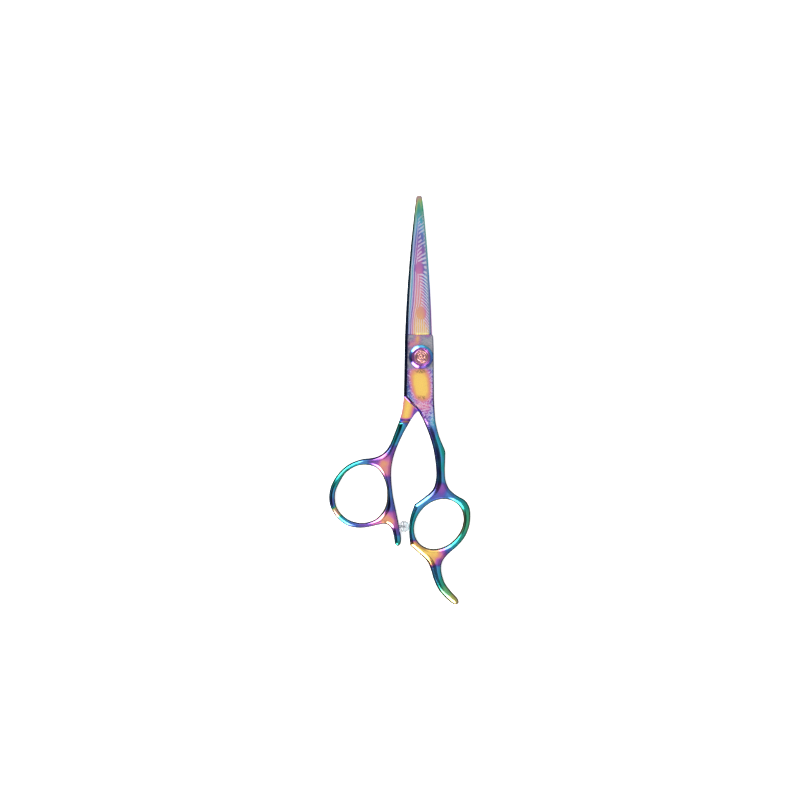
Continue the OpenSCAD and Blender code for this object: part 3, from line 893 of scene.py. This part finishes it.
def blade_face(side, spine, edge, g, x, y, z):
    """The etched face of a blade. side is -1 on the rear half, which is turned over."""
    x = x * side
    t = (y - LEDGE_Y) / (TIP_Y - LEDGE_Y)
    s, e = along(spine, t), along(edge, t)
    across = (x - s) / (e - s)
    waver = g.noise(x * 0.35, y * 0.16)
    spots = sum(g.spot(x, y, at, size) for at, size in SMOOTH_SPOTS)
    pitch = g.table(y, [(9, 0.82), (16, 0.85), (22, 1.05), (68, 0.95)])
    grain = g.sin(((x - s) / pitch + waver * 0.16 + spots * 0.7) * (2 * math.pi))
    lean = g.table(y, [(9, 1), (30, 0.85), (37, 0.1), (43, -0.55), (66, -0.9)])
    out = x - 0.9
    count = g.table(y + lean * out + out * out * 0.1, [(5, 0), (34, 22), (42, 26.5), (70, 43)])
    barbs = g.sin((count + waver * 0.25) * (2 * math.pi))
    start = g.table(y, [(9, 0.9), (12, 0.82), (17, 0.64), (30, 0.6), (36, 0.48), (60, 0.44)])
    feather = g.smooth(across - start + waver * 0.05, -0.05, 0.05)
    lines = g.smooth(g.blend(grain, barbs, feather), -0.35, 0.4)
    lines = lines * g.smooth(spots + waver * 0.08, 0.62, 0.42)
    lines = lines * g.smooth(y, 62, 57)
    rising = g.smooth(y, 52, 30)
    film = g.table(y, BLADE_FILM) + waver * 0.025
    film = film + g.smooth(across, 0.42, 0.1) * (0.16 + 0.36 * rising)
    right = g.smooth(across - start * 0.3, 0.42, 0.72) * g.smooth(y, 10, 17) * (1 - spots * 0.8)
    film = film + right * (0.09 + 0.3 * rising) + spots * 0.02
    colour = g.mix(0.1, g.film(film), PALE_ETCH)
    fine = g.noise(x * 3, y * 1.2, z, 4)
    upper = g.smooth(y, 36, 48)
    colour = g.mix(lines * (0.78 + 0.14 * feather - upper * 0.24), colour,
                   g.mix(0.25 - 0.15 * feather, PALE_ETCH, colour))
    colour = g.mix(0.3 * g.smooth(abs(across - 0.5), 0.28, 0.4), colour, PALE_ETCH)
    # Painted highlight: the face is mixed towards pale yellow within about a millimetre above the
    # ledge, right of x = -2.6.
    glint = g.smooth(y, LEDGE_Y + 1.1, LEDGE_Y + 0.5) * g.smooth(x, -2.6, -1.6)
    colour = g.mix(glint * 0.8, colour, [255, 246, 176])
    colour = g.mix(g.smooth(y, 66, 67.8) * 0.7, colour, PINK_TIP)
    colour = g.mix(g.smooth(fine, 0.1, 0.9) * 0.18, colour, GREY_ETCH)
    return metal(colour, 0.2 + lines * 0.2 + fine * 0.03, lines * -0.012 + fine * 0.002)


def block_pattern(g, x, y, attribute_film):
    """Film, etched share and dark scrollwork of a pivot block that faces up."""
    mottle = g.noise(x * 0.8, y * 0.8, 3, 3)
    flecks = g.noise(x * 2, y * 1.6, 9, 3)
    down = y + 11.7
    dx = abs((x + 0.1 + down * 0.13) / (down * 0.05 + 3.8))
    dy = abs(down / 6.7)
    ring = g.math("POWER", dx * dx * dx + dy * dy * dy, 0.333) + mottle * 0.06
    gold = g.table(ring, [(0, 0), (0.64, 0.02), (0.84, 0.13), (1.06, 0.24), (1.28, 0.42),
                          (1.5, 0.54)])
    warm = (((-1.4, 7.6), (1.6, 3.2), 0.5), ((-4.2, 5.2), (1.9, 2.1), 0.36),
            ((2.7, 9), (1.8, 1), 0.28), ((-0.5, -5.2), (3.8, 1.3), 0.4))
    upper, bare = 0.62 + mottle * 0.06, 1
    for at, size, drop in warm:
        spot = g.spot(x, y, at, size)
        upper = upper - spot * drop
        bare = bare - spot * 0.55
    lower = g.table(y, [(-31, 0.54), (-26, 0.46), (-23, 0.34), (-20.5, 0.24)]) + (
        g.smooth(x, 2.6, 5.2) * 0.2) + mottle * 0.06
    top = g.smooth(y, -5.8, -4.2)
    film = g.blend(lower, g.blend(gold, upper, top), g.smooth(y, -20.5, -18.5))
    swirls = g.sin((mottle * 1.3 + flecks * 0.35 + x * 0.25) * (2 * math.pi))
    etched = g.smooth(ring + swirls * 0.06, 0.98, 1.2) * g.smooth(swirls + flecks * 0.5, -0.7, 0.5)
    etched = etched + (g.smooth(bare + flecks * 0.3 + mottle * 0.15, 0.1, 1) - etched) * top
    tops = g.spot(x, y, (-0.2, -6), (3.4, 1.1)) + g.spot(x, y, (0.4, -17.2), (2.2, 1))
    scroll = g.smooth(abs(g.noise(x * 0.85, y * 0.85, 5, 1.5)), 0.2, 0.06)
    scroll = scroll * g.smooth(tops, 0.3, 0.75)
    film = g.blend(attribute_film, film, g.smooth(y, -30, -24.5))
    return film, etched * g.smooth(y, -31.5, -25.5), scroll, flecks, mottle, top


def block_face(side, g, x, y, z):
    """The mottled face of a pivot block, and of the handle next to it."""
    x = x * side
    up = g.smooth(g.split(g.node("ShaderNodeTexCoord").outputs["Normal"])[2] * side, 0.86, 0.97)
    own = g.attribute("film")
    film, etched, scroll, flecks, mottle, top = block_pattern(g, x, y, own)
    flat = up * g.smooth(y, -33, -29)
    film = g.blend(own, film, flat)
    etched = etched * flat
    colour = g.film(film + flecks * 0.012)
    grey = g.mix(g.smooth(flecks, -0.6, 0.6), [126, 130, 132], [182, 158, 160])
    colour = g.mix(etched * (0.5 + top * 0.34), colour, g.mix(top, PALE_ETCH, grey))
    colour = g.mix(scroll * flat * 0.7, colour, OLIVE_ETCH)
    colour = g.mix(g.smooth(x + mottle, -4.3, -6.2) * flat * 0.7, colour, [54, 44, 92])
    fine = g.noise(x * 4, y * 1.5, z * 4, 3)
    return metal(colour, 0.15 + etched * 0.25 + fine * 0.02, etched * -0.012 + fine * 0.0012)


def edge_film(g, x, y, z):
    """Bevels and rounded sides of the blades and blocks."""
    spine = g.table(y, [(-26, 0.4), (-17, 0.42), (-14, 0.5), (20, 0.55), (45, 0.66), (60, 0.75),
                        (66, 0.88), (68.3, 1)])
    fine = g.noise(x * 3, y * 0.5, z * 3, 3)
    near_weld = g.smooth(y, -24, -25.8)
    ledge = g.smooth(y, LEDGE_Y - 0.1, LEDGE_Y) * g.smooth(y, LEDGE_Y + 0.4, LEDGE_Y + 0.26)
    across = g.table(x, [(-6, 0.5), (-3, 0.2), (-1.5, 0.02), (2.5, 0.04), (3.6, 0.36), (5, 0.6)])
    film = g.blend(g.blend(spine, across, ledge), g.attribute("film"), near_weld) + fine * 0.012
    honed = g.smooth(x, 0.7, 1.3) * g.smooth(y, LEDGE_Y + 0.3, LEDGE_Y + 1)
    colour = g.mix(honed * 0.5, g.film(film), [196, 200, 222])
    colour = g.mix(g.smooth(y, 65.6, 67.6) * 0.6, colour, PINK_TIP)
    # Painted shade: edges below y = -17.5 and left of x = 3.5, the lower part of the lap edge, are
    # mixed towards dark maroon.
    painted_lap_shade = g.smooth(y, -17.5, -19.5) * g.smooth(x, 3.5, 2.5)
    colour = g.mix(painted_lap_shade * 0.7, colour, [84, 36, 70])
    return metal(colour, 0.13 + fine * 0.03, fine * 0.0015)


def ride_film(side, g, x, y, z):
    """The ground inner faces: gold, with the film thicker towards their edges."""
    x = x * side
    middle = g.table(y, [(-26.4, -6.6), (-20, -5.3), (-14, -3.6), (-4, -1), (9, -0.9),
                         (68, -0.5)])
    half = g.table(y, [(-26.4, 2.9), (-20, 3.4), (-10, 6), (9, 6.4), (68, 2.2)])
    out = (x - middle) / half
    lines = g.noise(x * 0.6, y * 9, 0, 3)
    film = g.math("MINIMUM", out * out * 0.5, 0.44) + g.smooth(y, -25.3, -26.6) * 0.35
    film = film + lines * 0.02 + g.smooth(y, 14, 64) * 0.55
    colour = g.mix(g.smooth(lines, 0.1, 0.9) * 0.2, g.film(film), PALE_ETCH)
    return metal(colour, 0.22 + lines * 0.05, lines * 0.002)


def handle_film(g, x, y, z):
    """Polished handles: film from the skin's own values, with faint polishing marks."""
    swirl = g.noise(x * 0.5, y * 0.35, z * 0.5, 2)
    fine = g.noise(x * 3.5, y * 3.5, z * 3.5, 4)
    film = g.attribute("film") + swirl * 0.018 + fine * 0.006
    return metal(g.film(film), 0.12 + fine * 0.025, fine * 0.0012)


def rim_film(g, x, y, z):
    gap = g.math("SQRT", x * x + y * y)
    fine = g.noise(gap * 9, z * 6, x * 0.4, 3)
    outer = 0.53 + y * 0.02 + x * 0.004
    film = g.blend(0.34, outer, g.smooth(gap, 3.7, 4.15)) + fine * 0.01
    return metal(g.film(film), 0.09 + fine * 0.02, fine * 0.0008)


def disc_film(g, x, y, z):
    relief = g.attribute("relief")
    gap = g.math("SQRT", x * x + y * y)
    fine = g.noise(x * 4, y * 4, 0, 4)
    film = g.blend(0.3, 0.12, relief) + g.smooth(gap, 2.8, 3.6) * 0.16 + fine * 0.03
    colour = g.mix(g.smooth(relief, 0.55, 0.1) * 0.75, g.film(film), [84, 44, 74])
    colour = g.mix(0.5, colour, [130, 104, 108])
    colour = g.mix(g.smooth(gap - x * 0.12, 2.2, 3.3) * 0.6, colour, [108, 58, 138])
    return metal(colour, 0.34 + fine * 0.05, fine * 0.004)


def turned_metal(colour, roughness, marks, g, x, y, z):
    """Metal with fine turning marks about the pivot axis."""
    gap = g.math("SQRT", x * x + y * y)
    rings = g.noise(gap * 11, z * 7, 0, 3)
    stain = g.noise(x * 0.7, y * 0.7, z * 0.7, 3)
    shade = g.mix(g.smooth(stain, -0.2, 1) * 0.35, list(colour),
                  [c * 0.78 for c in colour])
    return metal(shade, roughness + rings * 0.05, rings * marks)


def moulded(colour, roughness, g, x, y, z):
    """Plain moulded plastic with a faint grain."""
    grain = g.noise(x * 5, y * 5, z * 5, 4)
    cloud = g.noise(x * 0.8, y * 0.8, z * 0.8, 2)
    shade = g.mix(g.smooth(cloud, -0.4, 0.9) * 0.3, list(colour),
                  [c * 0.9 for c in colour])
    return {"Base Color": shade, "Roughness": roughness + grain * 0.05, "height": grain * 0.004}


def clear_silicone(g, x, y, z):
    cloud = g.noise(x * 1.2, y * 1.2, z * 1.2, 3)
    shade = g.mix(g.smooth(cloud, -0.5, 1) * 0.5, [226, 229, 233],
                  [196, 200, 208])
    return {"Base Color": shade, "Roughness": 0.1 + cloud * 0.03, "IOR": 1.45,
            "Transmission Weight": 0.93, "height": cloud * 0.01}


# ---- putting it together

def faces_to(obj, materials, rule):
    """Gives each face the material whose number rule(centre, normal) returns, from millimetres."""
    obj.data.materials.clear()
    for m in materials:
        obj.data.materials.append(m)
    for polygon in obj.data.polygons:
        polygon.material_index = rule(polygon.center / MM, polygon.normal)


def blade_rule(face_z, up, inner_z):
    """0 blade face, 1 block face, 2 edges, 3 inner ground face, 4 machined pockets."""
    def rule(c, n):
        outward, below = n[2] * up, abs(c[2] - face_z)
        if outward > 0.97 and below < 2 and c[1] > LEDGE_Y:
            return 0
        if outward > 0.97 and below < 0.02:
            return 1
        if outward < -0.9 and abs(c[2] - inner_z) < 0.2:
            return 3
        if math.hypot(c[0], c[1]) < POCKETS_WITHIN:
            return 4
        return 1 if c[1] < -20 and outward > 0.3 else 2
    return rule


steel = material("ground_steel", turned_metal, (196, 198, 202), 0.24, 0.002)
block_front = material("block_front", block_face, 1)
block_back = material("block_back", block_face, -1)
edges = material("blade_edges", edge_film)

cutting = build_cutting_half()
point_values(cutting, "film", film_from(FINGER_FILM, coords(cutting)[:, :2]))
blade_front = material("blade_front", blade_face, 1, SPINE_LINE, EDGE_LINE)
ride_front = material("ride_front", ride_film, -1)
faces_to(cutting, [blade_front, block_front, edges, ride_front, steel],
         blade_rule(FACE_Z, 1, FRONT_Z))

thinning = build_thinning_half()
point_values(thinning, "film", film_from(THUMB_FILM, coords(thinning)[:, :2]))
blade_back = material("blade_back", blade_face, -1, BACK_SPINE_LINE, BACK_EDGE_LINE)
ride_back = material("ride_back", ride_film, 1)
faces_to(thinning, [blade_back, block_back, edges, ride_back, steel],
         blade_rule(0, -1, PLATE_T))

finger = build_handle("finger_handle_skin", Handle(FINGER_OUTLINE, finger_hole(), None),
                      FINGER_FILM, FINGER_WALL)
thumb = build_handle("thumb_handle_skin", Handle(THUMB_OUTLINE, thumb_hole(), thumb_shoulder),
                     THUMB_FILM, THUMB_WALL)
dial, cap, bumper = build_dial(), build_cap(), build_bumper()
for piece, finish in ((finger, block_front), (thumb, material("handle_film", handle_film)),
                      (dial, material("dial_rim", rim_film)),
                      (cap, material("dial_disc", disc_film)),
                      (bumper, material("clear_silicone", clear_silicone))):
    piece.data.materials.append(finish)

for piece, body, node, slot in (
        (cutting, "finger_half", "cutting_blade", "rainbow_blade"),
        (finger, "finger_half", "finger_handle", "rainbow_handle"),
        (thinning, "thumb_half", "thinning_blade", "rainbow_blade"),
        (thumb, "thumb_half", "thumb_handle", "rainbow_handle"),
        (dial, "dial", "tension_dial", "rainbow_dial"),
        (cap, "dial", "dial_cap", "dial_disc"),
        (bumper, "thumb_half", "bumper", "silicone")):
    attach(piece, body)
    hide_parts(node)

race = material("race_steel", turned_metal, (205, 208, 214), 0.16, 0.001)
cad_finishes = {
    "pivot_bolt": steel, "bumper_stud": steel, "click_spring": race, "lower_race": race,
    "upper_race": race, "bearing_balls": race,
    "pivot_bush": material("bronze", turned_metal, (190, 138, 82), 0.3, 0.002),
    "ride_washer": material("ptfe", moulded, (236, 236, 232), 0.45),
    "ball_cage": material("cage_nylon", moulded, (226, 218, 196), 0.5)}
for node, finish in cad_finishes.items():
    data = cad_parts[node].data
    data.materials.clear()
    data.materials.append(finish)
    for polygon in data.polygons:
        polygon.material_index = 0


# ---- studio

def paper(g, x, y, z):
    grain = g.noise(x * 0.05, y * 0.05, 0.0, 3.0)
    shade = g.mix(g.smooth(grain, -0.6, 0.8) * 0.3, [253, 253, 252],
                  [250, 250, 250])
    return {"Base Color": shade, "Roughness": 0.85, "Specular IOR Level": 0.1,
            "Emission Color": (1, 1, 1, 1), "Emission Strength": 0.6}


FLOOR_REACH, FLOOR_Z = 3000, -0.08
corners = [(FLOOR_REACH * i, FLOOR_REACH * j, FLOOR_Z)
           for i, j in ((-1, -1), (1, -1), (1, 1), (-1, 1))]
floor = mesh_object("floor", corners, [[0, 1, 2, 3]])
floor.data.materials.append(material("paper", paper))
floor.visible_glossy = False

# Light that the studio gives at each height, from straight down (-1) to straight up (1)
LIGHT_BY_HEIGHT = [
    (-1, 0.1), (-0.15, 0.15), (0.1, 0.2), (0.26, 0.8), (0.4, 1.0), (0.58, 0.9), (0.7, 0.36),
    (0.86, 0.38), (0.955, 0.98), (1, 1.02)]
# Soft boxes and dark flags: (azimuth, elevation, inner and outer angle, strength)
SOFT_BOXES = [(126, 43, 12, 21, 11.0), (234, 41, 12, 21, 11.0), (285, 42, 6, 14, 1.2),
              (88, 44, 8, 18, 0.9)]
FLAGS = [(181, 8, 12, 20, 0.96), (200, 58, 15, 25, 0.8), (158, 62, 12, 20, 0.75),
         (181, 42, 10, 20, 0.5)]

world = bpy.data.worlds.new("studio")
bpy.context.scene.world = world
world.use_nodes = True
g = Graph(world.node_tree)
wx, wy, wz = g.split(g.node("ShaderNodeTexCoord").outputs["Generated"])


def toward(azimuth, elevation, inner, outer):
    """1 within the inner angle of a direction, falling to 0 at the outer one."""
    a, e = math.radians(azimuth), math.radians(elevation)
    near = wx * (math.cos(e) * math.cos(a)) + wy * (math.cos(e) * math.sin(a)) + wz * math.sin(e)
    return g.smooth(near, math.cos(math.radians(outer)), math.cos(math.radians(inner)))


light = g.table(wz, LIGHT_BY_HEIGHT)
light = light + (0.66 - light) * toward(0, 25, 30, 62) * g.smooth(wz, -0.2, 0.05)
for azimuth, elevation, inner, outer, depth in FLAGS:
    light = light * (1.0 - toward(azimuth, elevation, inner, outer) * depth)
for azimuth, elevation, inner, outer, strength in SOFT_BOXES:
    light = light + toward(azimuth, elevation, inner, outer) * strength
lit = g.node("ShaderNodeBackground", {"Color": (1.0, 0.995, 0.985, 1), "Strength": light})
seen = g.node("ShaderNodeBackground", {"Color": (0.97, 0.97, 0.97, 1), "Strength": 1.0})
straight = g.node("ShaderNodeLightPath").outputs["Is Camera Ray"]
either = g.node("ShaderNodeMixShader", {0: straight, 1: lit.outputs[0], 2: seen.outputs[0]})
g.node("ShaderNodeOutputWorld", {"Surface": either.outputs[0]})

# The camera looks straight down. It sees VIEW_WIDTH across at a little above the back face
LENS, SENSOR, VIEW_WIDTH = 150.0, 36.0, 338.0
VIEW_MIDDLE = (-8.87, -18.17)
camera = bpy.data.cameras.new("camera")
camera.lens, camera.sensor_width = LENS, SENSOR
camera.dof.use_dof = False
camera_at = bpy.data.objects.new("camera", camera)
camera_at.location = (VIEW_MIDDLE[0] * MM, VIEW_MIDDLE[1] * MM,
                      (4 + VIEW_WIDTH * LENS / SENSOR) * MM)
bpy.context.scene.collection.objects.link(camera_at)
bpy.context.scene.camera = camera_at
bpy.context.scene.view_settings.view_transform = "Standard"
